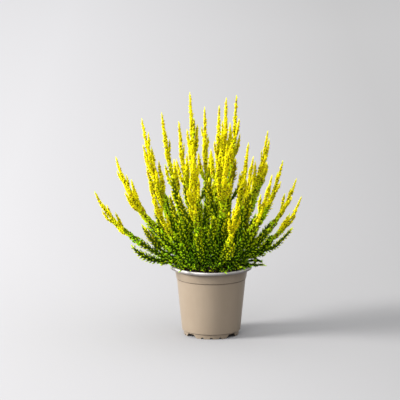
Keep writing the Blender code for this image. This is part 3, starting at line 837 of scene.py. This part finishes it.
# where the core sits on the map's age, near its painted-shade end
CORE_SHADE_AGE = 0.12
TIP_AGE = 0.66  # the core's end, which shows between the last leaves of a shoot
STEM_GROWTH = (0.12, 0.55)  # from the foot to the colour change
TWIG_GROWTH, TWIG_GROWTH_RISE, TWIG_GROWTH_SPAN = 0.14, 0.41, 0.28
LEAF_SHADES = [
    # how far it has grown from wood to gold, colour of a leaf in painted shade, colour of a lit, fresh leaf
    (0.06, (0.050, 0.028, 0.015), (0.20, 0.12, 0.07)),
    (0.10, (0.003, 0.016, 0.001), (0.34, 0.66, 0.020)),
    (0.30, (0.008, 0.034, 0.001), (0.48, 0.84, 0.020)),
    (0.48, (0.026, 0.066, 0.001), (0.74, 0.88, 0.012)),
    (0.63, (0.180, 0.165, 0.001), (0.98, 0.93, 0.008)),
    (0.84, (0.460, 0.370, 0.001), (1.00, 0.94, 0.006)),
    (1.00, (0.800, 0.660, 0.002), (1.00, 0.95, 0.008)),
]
LEAF_RIPENS = (0.10, 0.76)  # the ages between which a leaf goes from its painted-shade colour to its lit, fresh colour
DRY = (0.50, 0.24, 0.03)
LEAF_GLOW = 0.56  # how much of the light on a leaf's back comes through it
SHOOT_TONE = 0.06  # how far one shoot's growth is ahead of another's


def scale_leaves():
    """Colour by where a leaf is on its piece's map: growth from wood to gold across, and up it age, from
    painted shade to lit and fresh.
    """
    made, nodes, shader = new_material("scale_leaves", 0.65, 0.06)
    place = nodes.add("ShaderNodeUVMap", {"uv_map": "OFBake"}).outputs["UV"]
    parts = nodes.add("ShaderNodeSeparateXYZ", Vector=place)
    growth, age = parts.outputs["X"], parts.outputs["Y"]
    shaded = nodes.ramp(growth, [(at, dark) for at, dark, _ in LEAF_SHADES])
    fresh_and_lit = nodes.ramp(growth, [(at, light) for at, _, light in LEAF_SHADES])
    colour = nodes.mix(nodes.span(age, *LEAF_RIPENS), shaded, fresh_and_lit)
    dry = nodes.ramp(age, [(0.035, 1.0), (0.05, 0.0)])
    colour = nodes.mix(dry, colour, DRY)
    nodes.join(colour, shader.inputs["Base Color"])
    through = nodes.add("ShaderNodeBsdfTranslucent", Color=colour)
    both = nodes.add("ShaderNodeMixShader", _0=LEAF_GLOW, _1=shader.outputs[0], _2=through.outputs[0])
    nodes.join(both.outputs[0], made.node_tree.nodes["Material Output"].inputs["Surface"])
    return made


def frames_along(ways):
    """Two directions across a line at each of its places, which turn with it and don't spin."""
    side = unit(np.cross(ways[0], [0.3, 0.9, 0.1]))
    sides = []
    for way in ways:
        side = unit(side - way * (side @ way))
        sides.append(side)
    sides = np.array(sides)
    return sides, np.cross(ways, sides)


def round_axis(one, two, turns):
    """The ways out at these turns round each axis that has these two ways across it."""
    turns = turns[..., None]
    return one[:, None] * np.cos(turns) + two[:, None] * np.sin(turns)


def leaning(ways, turn, lean):
    """The way out of the line at these turns, an axis that leans out, and two ways across it."""
    sides, others = frames_along(ways)
    out = sides * np.cos(turn) + others * np.sin(turn)
    axis = ways * np.cos(lean) + out * np.sin(lean)
    across = units(np.cross(axis, ways))
    return out, axis, across, np.cross(across, axis)


def tube(places, ways, radii, growth, age):
    """A tube of few sides round a line: its points, triangles and places on the map."""
    rings, count = len(places), len(SPOKE_AGES)
    spokes = round_axis(*frames_along(ways), np.arange(count) * math.tau / count)
    points = places[:, None] + spokes * radii[:, None, None]
    index = np.arange(rings * count).reshape(-1, count)
    a, b = index[:-1], np.roll(index[:-1], -1, 1)
    c, d = index[1:], np.roll(index[1:], -1, 1)
    halves = np.stack([a, b, c], 2), np.stack([c, b, d], 2)
    triangles = np.concatenate([half.reshape(-1, 3) for half in halves])
    odd = np.arange(rings) % 2
    along = np.repeat(growth + odd * RING_APART[0], count)
    across = np.repeat(age + odd * RING_APART[1], count) + np.tile(SPOKE_AGES, rings)
    return points.reshape(-1, 3), triangles, np.stack([along, across], 1)


def tufts(places, ways, radii, growth, rng):
    """Short leafy shoots round a line, one at each of its places: points, triangles, map places.

    Each has a slim core and crossed pairs of keeled scale leaves, which get shorter and close
    in towards its tip.
    """
    count, pairs = len(places), LEAF_PAIRS
    turn = (np.arange(count) * GOLDEN_ANGLE + rng.uniform(0, math.tau))[:, None]
    lean = TUFT_ANGLE * rng.uniform(*TUFT_LEANS, (count, 1))
    out, axis, across, over = leaning(ways, turn, lean)
    arch = ways * TUFT_ARCH
    places = places + out * (radii * TUFT_FOOT)[:, None]
    length = radii * (1 - TUFT_FOOT) / np.sin(lean[:, 0]) * rng.uniform(*TUFT_LENGTHS, count)

    leaf = np.arange(pairs * 2)
    up_shoot = LEAVES_FROM + LEAVES_OVER * (leaf // 2) / (pairs - 1)
    spin = (leaf // 2 % 2) * math.pi / 2 + (leaf % 2) * math.pi
    spin = spin + rng.uniform(-LEAF_SPIN, LEAF_SPIN, (count, pairs * 2))
    spin = spin + rng.uniform(0, math.tau, (count, 1))
    opening = TUFT_OPEN * (1.15 - 0.75 * up_shoot) * rng.uniform(*LEAF_OPENS, spin.shape)
    size = np.minimum(LEAF_LENGTH, length * 0.5 + 0.0004)[:, None]
    size = size * (1.06 - 0.36 * up_shoot) * rng.uniform(*LEAF_SIZES, spin.shape)

    def spread(vector):
        return vector[:, None, :]

    def on_tuft(bend):
        reach = spread(axis) * bend + spread(arch) * bend**2 * 0.5
        return spread(places) + reach * length[:, None, None] * TUFT_REACH

    bend = up_shoot[None, :, None]
    line = units(spread(axis) + spread(arch) * bend)
    foot = on_tuft(bend)
    outward = round_axis(across, over, spin)
    beside = np.cross(line, outward)
    size, opening = size[..., None], opening[..., None]
    way = line * np.cos(opening) + outward * np.sin(opening)
    sink = (outward * np.cos(opening) - line * np.sin(opening)) * size * LEAF_KEEL
    wing = beside * size * LEAF_WIDTH * 0.5
    middle = foot + way * size * LEAF_MIDDLE - sink
    tip = foot + (way * 0.97 + line * 0.10 - outward * 0.06) * size
    points = np.stack([foot, middle + wing, middle - wing, tip], 2).reshape(-1, 3)
    first = np.arange(count * pairs * 2)[:, None, None] * 4
    triangles = (first + [[0, 3, 1], [0, 2, 3]]).reshape(-1, 3)

    # painted shade: leaves low in a tuft lie towards the dark end of the map, those near its tip towards the
    # lit end; the random parts are the leaves' own tone
    fresh_and_lit = 0.05 + 0.95 * up_shoot**1.2 + rng.uniform(*LEAF_FRESH, spin.shape)
    fresh_and_lit = np.clip(fresh_and_lit + rng.uniform(*TUFT_FRESH, (count, 1)), 0.07, 0.88)
    fresh_and_lit = np.where(rng.uniform(0, 1, spin.shape) < DRY_LEAVES, DRY_AGE, fresh_and_lit)
    hue = growth[:, None] + TIPS_AHEAD * (up_shoot - 0.70) + rng.normal(0, 0.018, spin.shape)
    hue = np.clip(hue, *GROWTHS)
    # each leaf's foot lies lower on the map than its tip, as painted shade at the foot
    rise = np.where(fresh_and_lit > 0.05, 0.10, 0.012)
    map_places = np.stack([
        np.stack([hue, hue - 0.008, hue + 0.008, hue], 2),
        np.stack([fresh_and_lit - rise * 0.5, fresh_and_lit, fresh_and_lit, fresh_and_lit + rise], 2),
    ], 3)
    leaves = points, triangles, np.clip(map_places, 0.002, 0.998).reshape(-1, 2)

    thick = np.minimum(TUFT_CORE, length * 0.22)[:, None, None]
    ring = on_tuft(0.62) + round_axis(across, over, np.arange(3) * math.tau / 3) * thick
    points = np.concatenate([spread(places), ring, on_tuft(1.08)], 1)
    first = np.arange(count)[:, None, None] * 5
    corners = [[0, 2, 1], [0, 3, 2], [0, 1, 3], [4, 1, 2], [4, 2, 3], [4, 3, 1]]
    triangles = (first + corners).reshape(-1, 3)
    hue = np.clip(growth[:, None] + TUFT_HUES, *GROWTHS)
    age = np.broadcast_to(TUFT_AGES, hue.shape)
    core = points.reshape(-1, 3), triangles, np.stack([hue, age], 2).reshape(-1, 2)
    return [leaves, core]


def foliage(name, parts, finish):
    """A piece with its own map, out of several sets of points, triangles and map places."""
    points, triangles, places = zip(*parts)
    starts = np.cumsum([0] + [len(own) for own in points])
    triangles = np.concatenate([own + start for own, start in zip(triangles, starts)])
    points, places = np.concatenate(points), np.concatenate(places)
    mesh = bpy.data.meshes.new(name)
    mesh.from_pydata(points, [], triangles, shade_flat=False)
    layer = mesh.uv_layers.new(name="OFBake")
    layer.data.foreach_set("uv", places[triangles.ravel()].astype(np.float32).ravel())
    return shown(name, mesh, finish)


def clothed(shoot, low, high, dress, rng, grown_from, grown_to):
    """The bark, core and leaves of one stretch of a shoot, whose growth runs between two values."""
    leaves, area, core, core_shade_shift, slim = dress
    line, lengths = smooth_line(shoot.points)
    length = lengths[-1]
    low, high = low * length, high * length
    foot = shoot.root is None and low == 0
    bare = BARE_STEM if foot else low
    tone = rng.normal(0, SHOOT_TONE)
    parts = []
    if foot:
        at, ways = places_along(line, lengths, np.linspace(0, bare * BARK_UP, BARK_RINGS))
        bark = np.full(BARK_RINGS, STEM_RADIUS * BARK_GIRTH)
        parts.append(tube(at, ways, bark, WOOD_PLACE, WOOD_AGE))

    def grown(stations):
        return tone + grown_from + (grown_to - grown_from) * (stations - low) / (high - low)

    def girths(stations):
        radii = shoot.girth_at(stations) * slim
        return np.maximum(radii, LEAST_GIRTH) if foot else radii

    stations = np.append(np.arange(bare, high - 0.002, CORE_STEP), high)
    at, ways = places_along(line, lengths, stations)
    inner = girths(stations) * core * rng.uniform(*CORE_GIRTHS, len(stations))
    # the core stands for the inner leaves; its dark colour is painted shade between the tufts or knobs round
    # it
    age = np.full(len(stations), CORE_SHADE_AGE)
    if high == length:
        inner[-1] = CORE_TIP
        age[-2:] = TIP_AGE
    parts.append(tube(at, ways, inner, np.clip(grown(stations) - core_shade_shift, 0.11, 0.9), age))
    top = high if shoot.root is None and high < length else high - shoot.girth_at(high) * slim
    stations = np.arange(bare, top, COUNT_STEP)
    counts = np.cumsum(girths(stations)) * math.tau * COUNT_STEP / area
    wanted = np.arange(int(counts[-1])) + rng.uniform(0.2, 0.8, int(counts[-1]))
    stations = np.interp(wanted, counts, stations)
    at, ways = places_along(line, lengths, stations)
    parts += leaves(at, ways, girths(stations), grown(stations), rng)
    return parts


def one_spray(i):
    """A spray's stem, its side shoots, and how far up the stem each of its points is, as shares."""
    stem, *sides = [shoot for shoot in shoots if shoot.spray == i]
    lengths = lengths_of(stem.points)
    return stem, sides, lengths / lengths[-1]


# what covers a shoot, the outside for each, the dark core's share of the radius, how far down the growth map
# the core's colour is moved as painted shade, and the share of the solid's radius that is filled
GREEN_DRESS = (tufts, 38e-6, 0.52, 0.16, 0.80)
leaf_rng = np.random.default_rng(LEAF_SEED)
leaf_finish = scale_leaves()
for i in range(SPRAYS):
    stem, sides, shares = one_spray(i)
    parts = clothed(stem, 0, shares[stem.turn_point], GREEN_DRESS, leaf_rng, *STEM_GROWTH)
    for side in sides:
        if side.colour == "green":
            start = TWIG_GROWTH + TWIG_GROWTH_RISE * side.root / stem.turn_point
            parts += clothed(side, 0, 1, GREEN_DRESS, leaf_rng, start, start + TWIG_GROWTH_SPAN)
    spray = foliage(f"leafy_spray_{i + 1:02}", parts, leaf_finish)
    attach(spray, "root")
    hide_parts(f"green_spray_{i + 1:02}")


# The golden spikes are the upper part of each stem with its six side shoots: slim columns of
# close knobs, each a tiny twig end with five fat buds, yellow-green where they begin.
KNOB_TURN = 0.2
KNOB_ANGLE = 0.95
KNOB_LEANS = (0.75, 1.2)
KNOB_REACH = (0.66, 1.04)  # shares of the shoot's radius
BUDS = 5
BUD_LENGTH = 0.0028
BUD_LENGTHS = (0.85, 1.15)
BUD_GIRTH, BUD_MIDDLE = 0.36, 0.52  # shares of the bud's length
BUD_SIDES = 4
BUD_OPEN = 0.56
BUD_OPENS = (0.7, 1.25)
BUD_HUES, BUD_AGES = (-0.30, 0.03), (-0.5, 0.14)  # of its foot, greener and low on the map as painted shade between the buds, and of its tip
DRY_BUDS = 0.05
DRY_BUD_AGE = 0.012
SPIKE_GROWTH = (0.42, 1.04)  # from the colour change to the tip
SIDE_GROWTH, SIDE_GROWTH_RISE = 0.36, 0.40


def knobs(places, ways, radii, growth, rng):
    """Knobs of pointed buds round a line, one at each of its places, in the form of tufts."""
    count = len(places)
    turn = np.arange(count) * GOLDEN_ANGLE + rng.uniform(0, math.tau)
    turn = (turn + rng.normal(0, KNOB_TURN, count))[:, None]
    lean = KNOB_ANGLE * rng.uniform(*KNOB_LEANS, (count, 1))
    out, axis, across, over = leaning(ways, turn, lean)
    size = np.minimum(BUD_LENGTH, radii * 0.9 + 0.0002)[:, None]
    size = size * rng.uniform(*BUD_LENGTHS, (count, 1))
    end = places + out * radii[:, None] * rng.uniform(*KNOB_REACH, (count, 1))

    outer = np.arange(BUDS) > 0
    open_by = BUD_OPEN * outer * rng.uniform(*BUD_OPENS, (count, BUDS))
    spin = np.arange(BUDS) * math.tau / (BUDS - 1) + rng.uniform(0, math.tau, (count, 1))
    beside = round_axis(across, over, spin)
    way = axis[:, None] * np.cos(open_by)[..., None] + beside * np.sin(open_by)[..., None]
    length = size * rng.uniform(*BUD_LENGTHS, (count, BUDS))
    foot = (end - axis * size)[:, None] - (axis * size)[:, None] * 0.3 * outer[:, None]
    way, foot, length = way.reshape(-1, 3), foot.reshape(-1, 3), length.reshape(-1, 1)
    one = np.cross(way, np.repeat(ways, BUDS, 0))
    one /= np.linalg.norm(one, axis=1)[:, None] + 1e-9
    two = np.cross(one, way)
    ring = round_axis(one, two, np.arange(BUD_SIDES) * math.tau / BUD_SIDES)
    ring = (foot + way * length * BUD_MIDDLE)[:, None] + ring * (length * BUD_GIRTH)[:, None]
    points = np.concatenate([foot[:, None], ring, (foot + way * length)[:, None]], 1)
    corners = []
    for k in range(BUD_SIDES):
        here, after = 1 + k, 1 + (k + 1) % BUD_SIDES
        corners += [(0, after, here), (BUD_SIDES + 1, here, after)]
    triangles = np.arange(count * BUDS)[:, None, None] * (BUD_SIDES + 2) + corners

    fresh_and_lit = rng.normal(0.72, 0.24, (count, 1)) + rng.normal(0, 0.14, (count, BUDS)) - 0.12 * outer
    hue = growth[:, None] + rng.normal(0, 0.03, (count, BUDS)) - 0.04 * outer
    hue, age = (
        value.reshape(-1, 1) + [at_foot, *[0] * BUD_SIDES, at_tip]
        for value, (at_foot, at_tip) in ((hue, BUD_HUES), (fresh_and_lit, BUD_AGES))
    )
    dry = rng.uniform(0, 1, (count * BUDS, 1)) < DRY_BUDS
    age = np.where(dry, DRY_BUD_AGE, np.clip(age, 0.07, 0.985))
    place = np.stack([np.clip(hue, *GROWTHS), age], 2)
    return [(points.reshape(-1, 3), triangles.reshape(-1, 3), place.reshape(-1, 2))]


GOLD_DRESS = (knobs, 17e-6, 0.40, 0.40, 0.90)
for i in range(SPRAYS):
    stem, sides, shares = one_spray(i)
    change = shares[stem.turn_point]
    parts = clothed(stem, change, 1, GOLD_DRESS, leaf_rng, *SPIKE_GROWTH)
    for side in sides:
        if side.colour == "gold":
            start = SIDE_GROWTH + SIDE_GROWTH_RISE * (shares[side.root] - change) / (1 - change)
            parts += clothed(side, 0, 1, GOLD_DRESS, leaf_rng, start, SPIKE_GROWTH[1])
    spikes = foliage(f"yellow_spikes_{i + 1:02}", parts, leaf_finish)
    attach(spikes, "root")
    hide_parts(f"golden_spikes_{i + 1:02}")


# The floor is a plain pale sheet of studio paper that runs on past what the camera sees. Its colour holds
# painted light: paler at the left and far back than at the right, and painted shade by the window, so that
# it doesn't glare there.
FLOOR_REACH = 14.0
FLOOR_SIDES = 96
PAPER_TURNS = (-0.4, 0.4)  # where it goes from its left colour to its right colour
PAPER_GOES_FAR = (0.2, 3.6)
WINDOW_REACH = (10.7, 6.0)
PAPER_LEFT_END = (-14.2, -12.2)
PAPER_LEFT = (0.290, 0.288, 0.297)
PAPER_RIGHT = (0.196, 0.196, 0.199)
PAPER_FAR_LEFT = (0.298, 0.297, 0.306)
PAPER_FAR_RIGHT = (0.230, 0.230, 0.233)
PAPER_PAINTED_SHADE = (0.072, 0.072, 0.074)
WINDOW = (-10.4, -3.0, 5.42)


def studio_paper():
    made, nodes, shader = new_material("studio_paper", 1.0, 0.0)
    where, across, back, _ = nodes.place()
    # painted light: the paper is lighter at the left and far back, darker at the right
    share = nodes.span(across, *PAPER_TURNS)
    near_paper = nodes.mix(share, PAPER_LEFT, PAPER_RIGHT)
    far_paper = nodes.mix(share, PAPER_FAR_LEFT, PAPER_FAR_RIGHT)
    paper = nodes.mix(nodes.span(back, *PAPER_GOES_FAR), near_paper, far_paper)
    # painted shade on the paper near the window lamp
    foot = (*WINDOW[:2], 0)
    away = nodes.add("ShaderNodeVectorMath", {"operation": "DISTANCE"}, _0=where, _1=foot)
    by_window = nodes.span(away.outputs["Value"], *WINDOW_REACH)
    shade = nodes.math("MULTIPLY", by_window, nodes.span(across, *PAPER_LEFT_END))
    nodes.join(nodes.mix(shade, paper, PAPER_PAINTED_SHADE), shader.inputs["Base Color"])
    return made


floor_mesh = bpy.data.meshes.new("studio_floor")
edge = [(x, y, 0) for x, y in circle(FLOOR_REACH, FLOOR_SIDES)]
floor_mesh.from_pydata(edge, [], [list(range(FLOOR_SIDES))])
floor = shown("studio_floor", floor_mesh, studio_paper())


# Light: one large soft lamp high at the left, a weak wide one in front, and a pale room that
# is brighter above and at the left.
LAMP_AIM = (0, 0, 0.18)
SHEET = (-1.8, -5.0, 2.6)
ABOVE_LIGHT = (0.05, 0.85, 0.17, 2.15)  # between these heights on the sky, from low to full
LEFT_LIGHT = (0.4, -1.0, 0.0, 0.46)
SEEN_LIGHT = 0.60


def soft_lamp(name, place, size, watts, colour):
    lamp = bpy.data.lights.new(name, "AREA")
    lamp.shape = "SQUARE"
    lamp.size = size
    lamp.energy = watts
    lamp.color = colour
    holder = placed(name, lamp)
    holder.location = place
    aim = Vector(LAMP_AIM) - Vector(place)
    holder.rotation_euler = aim.to_track_quat("-Z", "Y").to_euler()


soft_lamp("window_left", WINDOW, 4.0, 3680, (1.0, 0.985, 0.96))
soft_lamp("front_sheet", SHEET, 2.6, 125, (1.0, 1.0, 1.0))


def studio_room():
    """Pale light from above and from the left; the camera sees plain pale grey beyond the floor."""
    room = bpy.data.worlds.new("room")
    room.use_nodes = True
    nodes = Nodes(room.node_tree)
    background = room.node_tree.nodes["Background"]
    background.inputs["Color"].default_value = (1, 1, 1, 1)
    _, across, _, up = nodes.place("Generated")
    above = nodes.span(up, *ABOVE_LIGHT, "SMOOTHSTEP")
    left = nodes.span(across, *LEFT_LIGHT, "SMOOTHSTEP")
    light = nodes.math("ADD", above, left)
    seen = nodes.add("ShaderNodeLightPath").outputs["Is Camera Ray"]
    strength = nodes.add("ShaderNodeMix", _0=seen, _2=light, _3=SEEN_LIGHT).outputs[0]
    nodes.join(strength, background.inputs["Strength"])
    return room


bpy.context.scene.world = studio_room()


# The camera stands where the photographer's did: in front, a little above, with a long lens.
CAMERA_TILT = math.radians(10.7)
CAMERA_DISTANCE = 4.5
CAMERA_LENS = 262
SENSOR_WIDTH = 36
SEES_TO = 60
VIEW_LEFT = -0.0174
VIEW_ABOVE_RIM = 0.0998

camera_data = bpy.data.cameras.new("camera")
camera_data.lens = CAMERA_LENS
camera_data.sensor_width = SENSOR_WIDTH
camera_data.clip_end = SEES_TO
camera = placed("camera", camera_data)
view_up = Vector((0, math.sin(CAMERA_TILT), math.cos(CAMERA_TILT)))
target = Vector((VIEW_LEFT, 0, POT_HEIGHT)) + view_up * VIEW_ABOVE_RIM
camera.location = target + Vector((0, -math.cos(CAMERA_TILT), math.sin(CAMERA_TILT))) * CAMERA_DISTANCE
camera.rotation_euler = (math.pi / 2 - CAMERA_TILT, 0, 0)
bpy.context.scene.camera = camera
